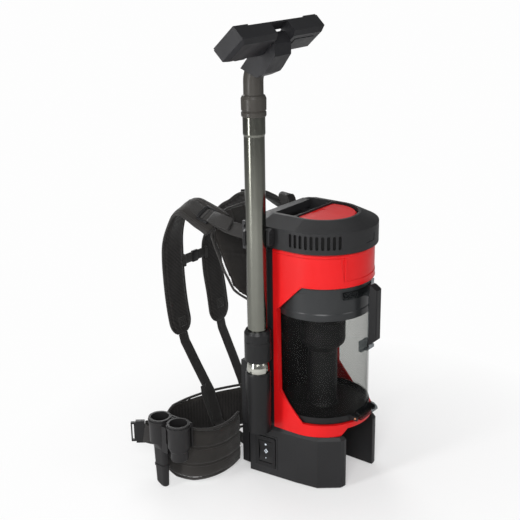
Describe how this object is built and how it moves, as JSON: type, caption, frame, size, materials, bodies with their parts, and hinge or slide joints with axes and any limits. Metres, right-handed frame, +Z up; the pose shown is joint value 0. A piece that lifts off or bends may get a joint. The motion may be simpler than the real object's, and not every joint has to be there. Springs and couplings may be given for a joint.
{
  "type": "backpack vacuum cleaner",
  "caption": "Backpack vacuum cleaner: red canister on a dark base, clear removable dust bin, stowed telescopic wand with floor nozzle, padded shoulder straps and hip belt.",
  "frame": {"origin": "on the floor, on the canister's vertical axis", "axes": "+Z up, -Y towards the dust bin, +Y towards the wearer, -X the wand side"},
  "size_m": [0.3935, 0.4405, 0.8445],
  "materials": {
    "aluminium_fan": "pressed aluminium fan",
    "black_plastic": "black moulded plastic",
    "board": "green circuit board",
    "bristle": "black nylon bristle",
    "buckle_plastic": "black acetal buckle",
    "clear_plastic": "clear polycarbonate",
    "copper": "copper coloured contacts and pins",
    "dark_plastic": "satin charcoal moulded plastic, fine grain",
    "filter_media": "pleated filter media",
    "lamination": "stacked laminations",
    "nozzle_grey": "dark grey moulded plastic",
    "red_plastic": "satin moulded red plastic",
    "rubber_seal": "soft black rubber",
    "smoky_plastic": "smoky translucent plastic",
    "steel": "zinc plated steel",
    "strap_fabric": "black padded harness fabric with mesh lining",
    "tube_metal": "satin warm grey anodised tube",
    "webbing": "black polyester webbing",
    "wire": "insulated wire bundle"
  },
  "bodies": {
    "root": {"base_housing": "dark_plastic", "foot_pads": "rubber_seal", "battery_dock": "dark_plastic", "dock_terminals": "copper", "switch_bezel": "black_plastic", "control_board": "board", "wiring_loom": "wire", "canister_housing": "red_plastic", "inlet_seal": "rubber_seal", "intake_port": "dark_plastic", "chassis_spine": "dark_plastic", "motor_head_cover": "dark_plastic", "motor_gasket": "rubber_seal", "motor_can": "dark_plastic", "motor_stator": "lamination", "motor_bearings": "steel", "exhaust_filter": "filter_media", "wand_cup": "black_plastic", "wand_clip": "dark_plastic", "back_frame": "dark_plastic", "adjuster_plates": "buckle_plastic", "belt_bracket": "dark_plastic", "back_panel": "strap_fabric", "shoulder_strap_left": "strap_fabric", "shoulder_strap_right": "strap_fabric", "harness_webbing": "webbing", "strap_buckles": "buckle_plastic", "sternum_strap": "webbing", "hip_belt_left": "strap_fabric", "hip_belt_right": "strap_fabric", "belt_webbing": "webbing", "belt_buckle": "buckle_plastic", "tool_holder": "black_plastic", "frame_screws": "steel"},
    "rocker": {"power_rocker": "black_plastic"},
    "rotor": {"rotor_shaft": "steel", "rotor_core": "lamination", "impeller": "aluminium_fan"},
    "dust_bin": {"bin_canister": "clear_plastic", "bin_lid": "dark_plastic", "lid_gasket": "rubber_seal", "bin_handle": "black_plastic", "handle_bracket": "smoky_plastic", "cyclone_screen": "dark_plastic", "cyclone_tube": "dark_plastic", "pre_filter": "filter_media", "bin_door": "dark_plastic", "door_gasket": "rubber_seal", "latch_pin": "copper"},
    "latch": {"door_latch": "smoky_plastic"},
    "exhaust_lid": {"exhaust_cover": "red_plastic"},
    "wand_inner": {"wand_inner_tube": "tube_metal"},
    "wand_outer": {"wand_outer_tube": "tube_metal", "nozzle_neck": "nozzle_grey"},
    "collar": {"wand_collar": "black_plastic"},
    "swivel": {"nozzle_swivel": "nozzle_grey"},
    "nozzle_head": {"nozzle_body": "nozzle_grey", "nozzle_brush": "bristle"},
    "crevice": {"crevice_tool": "black_plastic"},
    "brush": {"brush_tool": "black_plastic"}
  },
  "joints": [
    {"name": "rocker_tilt", "type": "hinge", "parent": "root", "child": "rocker", "pos_m": [-0.09427, 0.05975, 0.05], "axis": [0.1072, -0.9942, 0], "range_deg": [-9, 9]},
    {"name": "rotor_spin", "type": "hinge", "parent": "root", "child": "rotor", "pos_m": [0, 0, 0.44], "axis": [0, 0, 1], "continuous": true},
    {"name": "bin_slide", "type": "slide", "parent": "root", "child": "dust_bin", "axis": [0, -1, 0], "range_m": [0, 0.22]},
    {"name": "latch_swing", "type": "hinge", "parent": "dust_bin", "child": "latch", "pos_m": [0, -0.093, 0.1352], "axis": [1, 0, 0], "range_deg": [0, 50]},
    {"name": "exhaust_lift", "type": "slide", "parent": "root", "child": "exhaust_lid", "axis": [0, 0, 1], "range_m": [0, 0.03]},
    {"name": "wand_lift", "type": "slide", "parent": "root", "child": "wand_inner", "axis": [0, 0, 1], "range_m": [0, 0.1]},
    {"name": "wand_extend", "type": "slide", "parent": "wand_inner", "child": "wand_outer", "axis": [0, 0, 1], "range_m": [0, 0.148]},
    {"name": "collar_twist", "type": "hinge", "parent": "wand_outer", "child": "collar", "pos_m": [-0.122, 0.058, 0.268], "axis": [0, 0, 1], "range_deg": [0, 60]},
    {"name": "nozzle_twist", "type": "hinge", "parent": "wand_outer", "child": "swivel", "pos_m": [-0.122, 0.05454, 0.76127], "axis": [0, -0.4067, 0.9135], "range_deg": [-90, 90]},
    {"name": "nozzle_tilt", "type": "hinge", "parent": "swivel", "child": "nozzle_head", "pos_m": [-0.114, 0.022, 0.815], "axis": [0.9954, 0.0958, 0], "range_deg": [-10, 80]},
    {"name": "crevice_lift", "type": "slide", "parent": "root", "child": "crevice", "axis": [0, 0, 1], "range_m": [0, 0.15]},
    {"name": "brush_lift", "type": "slide", "parent": "root", "child": "brush", "axis": [0, 0, 1], "range_m": [0, 0.08]}
  ]
}
